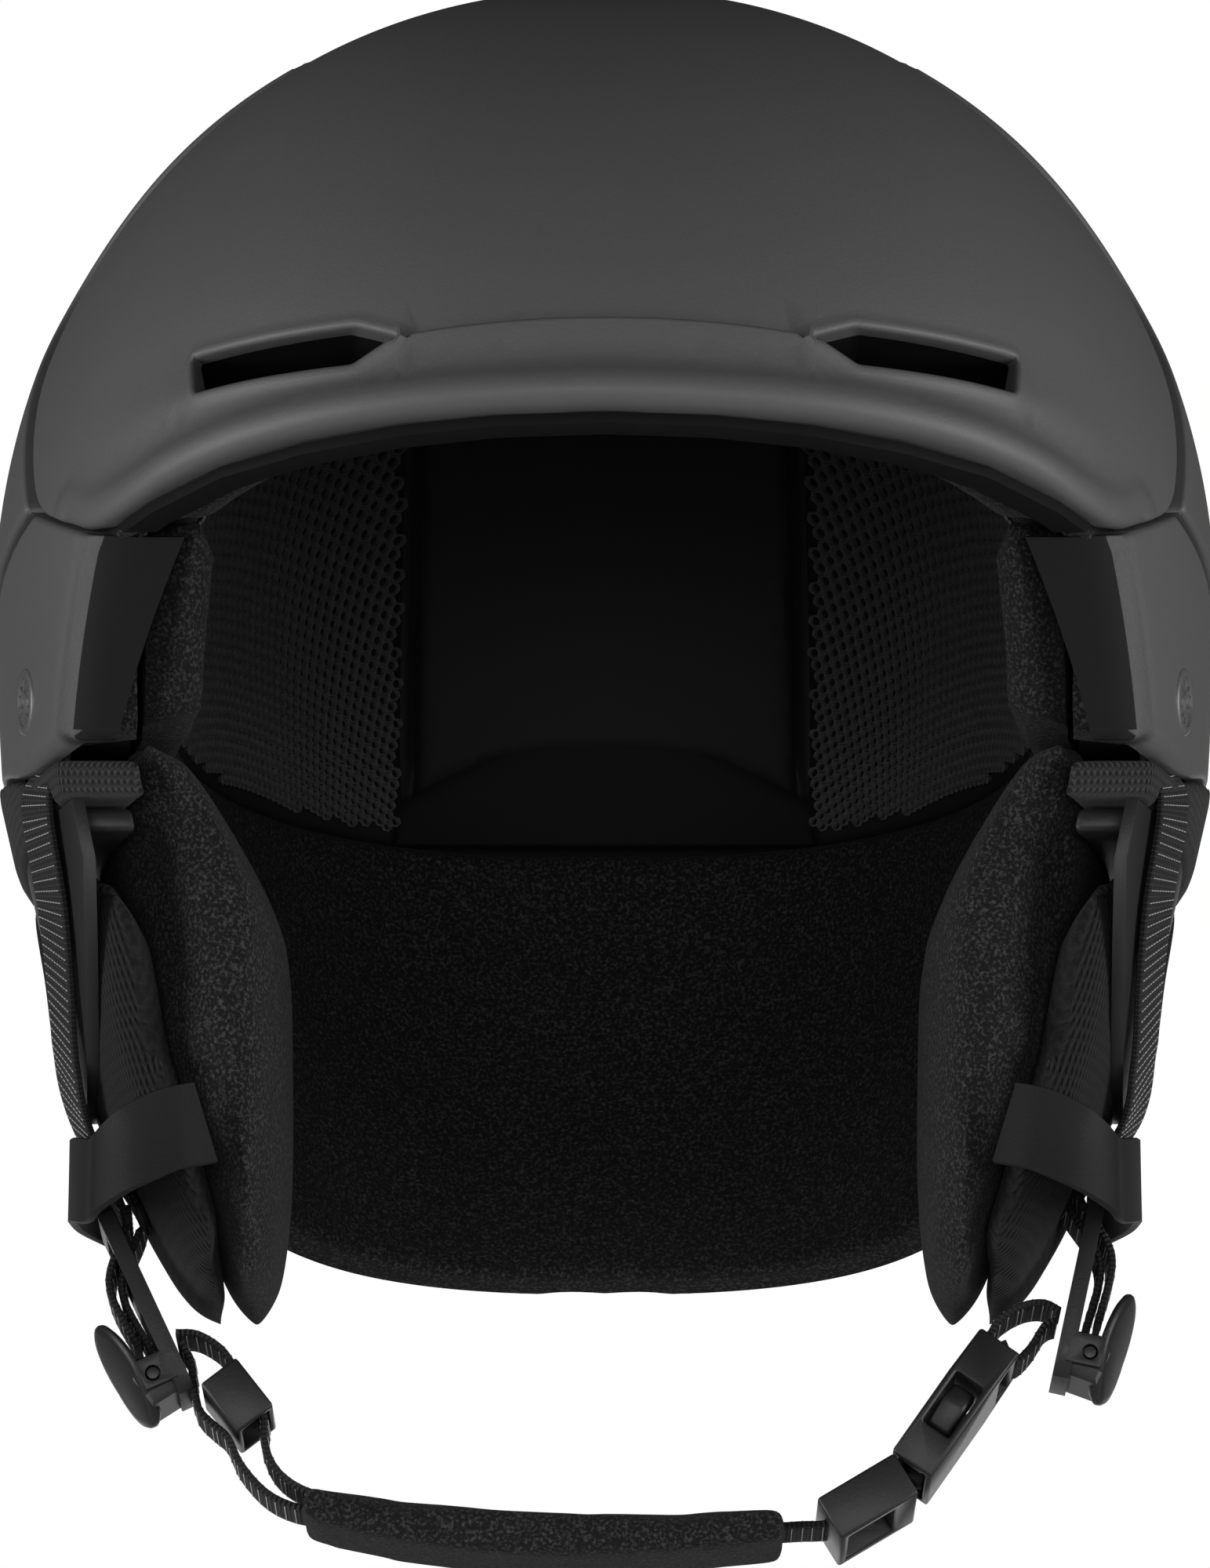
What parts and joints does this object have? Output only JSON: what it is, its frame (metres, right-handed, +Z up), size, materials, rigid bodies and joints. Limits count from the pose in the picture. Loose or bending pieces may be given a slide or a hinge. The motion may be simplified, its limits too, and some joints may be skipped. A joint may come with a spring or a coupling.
{
  "type": "ski helmet",
  "caption": "Two-piece in-mould ski helmet with brow vents, fleece and mesh lining, soft ear pads, a rear dial fit system and a padded chin strap with a side-release buckle.",
  "frame": {"origin": "inside the head cavity, on the symmetry plane, halfway along the shell, level with the side panels' lower front corners", "axes": "+Z up, -Y towards the wearer's face, +X towards the wearer's left"},
  "size_m": [0.223, 0.2847, 0.2892],
  "materials": {
    "matte_shell": "matte",
    "badge_plastic": "satin",
    "black_foam": "matte beaded foam",
    "brow_rubber": "matte",
    "liner_plastic": "smooth satin",
    "mesh_fabric": "spacer mesh",
    "fleece": "brushed fleece",
    "knit_fabric": "coarse knit",
    "woven_binding": "woven",
    "black_plastic": "fine moulded grain",
    "keeper_elastic": "matte",
    "webbing": "woven with pale reflective picks",
    "steel": "brushed",
    "soft_rubber": "matte"
  },
  "bodies": {
    "helmet": {"front_shell": "matte_shell", "rear_shell": "matte_shell", "side_panel_left": "matte_shell", "side_panel_right": "matte_shell", "side_badge_left": "badge_plastic", "side_badge_right": "badge_plastic", "foam_liner": "black_foam", "brow_trim": "brow_rubber", "slip_liner": "liner_plastic", "mesh_pad_left": "mesh_fabric", "mesh_pad_right": "mesh_fabric", "brow_pad": "fleece", "fleece_lining": "fleece", "ear_pad_fleece_left": "fleece", "ear_pad_fleece_right": "fleece", "ear_pad_knit_left": "knit_fabric", "ear_pad_knit_right": "knit_fabric", "ear_binding_left": "woven_binding", "ear_binding_right": "woven_binding", "ear_plate_left": "black_plastic", "ear_plate_right": "black_plastic", "ear_mount_left": "black_plastic", "ear_mount_right": "black_plastic", "divider_frame_left": "black_plastic", "divider_frame_right": "black_plastic", "fit_yoke": "black_plastic", "fit_yoke_cover": "black_plastic", "goggle_clip_base": "black_plastic", "strap_keeper_left": "keeper_elastic", "strap_keeper_right": "keeper_elastic", "front_strap_left": "webbing", "front_strap_right": "webbing", "rear_strap_left": "webbing", "rear_strap_right": "webbing", "strap_anchor_front_left": "steel", "strap_anchor_front_right": "steel", "strap_anchor_rear_left": "steel", "strap_anchor_rear_right": "steel", "divider_pin_left": "steel", "divider_pin_right": "steel", "goggle_clip_pin": "steel"},
    "lever_left": {"divider_lever_left": "black_plastic"},
    "lever_right": {"divider_lever_right": "black_plastic"},
    "chin": {"chin_strap_right": "webbing", "strap_slider": "black_plastic", "chin_pad": "fleece", "chin_strap_middle": "webbing", "buckle_socket": "black_plastic", "buckle_plug": "black_plastic", "chin_strap_left": "webbing"},
    "prong_front": {"buckle_prong_front": "black_plastic"},
    "prong_rear": {"buckle_prong_rear": "black_plastic"},
    "dial": {"dial_knob": "soft_rubber", "dial_pinion": "black_plastic"},
    "band_left": {"fit_band_left": "black_plastic"},
    "band_right": {"fit_band_right": "black_plastic"},
    "clip_flap": {"goggle_clip_flap": "soft_rubber"}
  },
  "joints": [
    {"name": "chin_strap_swing", "type": "hinge", "parent": "helmet", "child": "chin", "pos_m": [0, -0.008, -0.097], "axis": [1, 0, 0], "range_deg": [-14, 14]},
    {"name": "prong_front_squeeze", "type": "hinge", "parent": "chin", "child": "prong_front", "pos_m": [0.05509, -0.0157, -0.11836], "axis": [-0.8192, 0, 0.5736], "range_deg": [0, 8], "stiffness_Nm_per_rad": 0.03},
    {"name": "prong_rear_squeeze", "type": "hinge", "parent": "chin", "child": "prong_rear", "pos_m": [0.05509, -0.0003, -0.11836], "axis": [0.8192, 0, -0.5736], "range_deg": [0, 8], "stiffness_Nm_per_rad": 0.03},
    {"name": "lever_left_open", "type": "hinge", "parent": "helmet", "child": "lever_left", "pos_m": [0.0861, -0.008, -0.0989], "axis": [0, 1, 0], "range_deg": [-8, 34]},
    {"name": "lever_right_open", "type": "hinge", "parent": "helmet", "child": "lever_right", "pos_m": [-0.08021, -0.008, -0.10268], "axis": [0, -1, 0], "range_deg": [-8, 34]},
    {"name": "fit_dial_turn", "type": "hinge", "parent": "helmet", "child": "dial", "pos_m": [0, 0.108, -0.04], "axis": [0, 1, 0], "range_deg": [-70, 80]},
    {"name": "band_left_travel", "type": "hinge", "parent": "helmet", "child": "band_left", "pos_m": [0, 0.027, -0.04], "axis": [0, 0, 1], "range_deg": [-4.5, 4.5]},
    {"name": "band_right_travel", "type": "hinge", "parent": "helmet", "child": "band_right", "pos_m": [0, 0.027, -0.04], "axis": [0, 0, 1], "range_deg": [-4.5, 4.5]},
    {"name": "clip_flap_lift", "type": "hinge", "parent": "helmet", "child": "clip_flap", "pos_m": [0, 0.1465, 0.018], "axis": [1, 0, 0], "range_deg": [0, 75]}
  ],
  "couplings": [
    {"joint": "prong_rear_squeeze", "follows": "prong_front_squeeze", "ratio": 1},
    {"joint": "band_left_travel", "follows": "fit_dial_turn", "ratio": -0.049383},
    {"joint": "band_right_travel", "follows": "fit_dial_turn", "ratio": 0.049383}
  ]
}
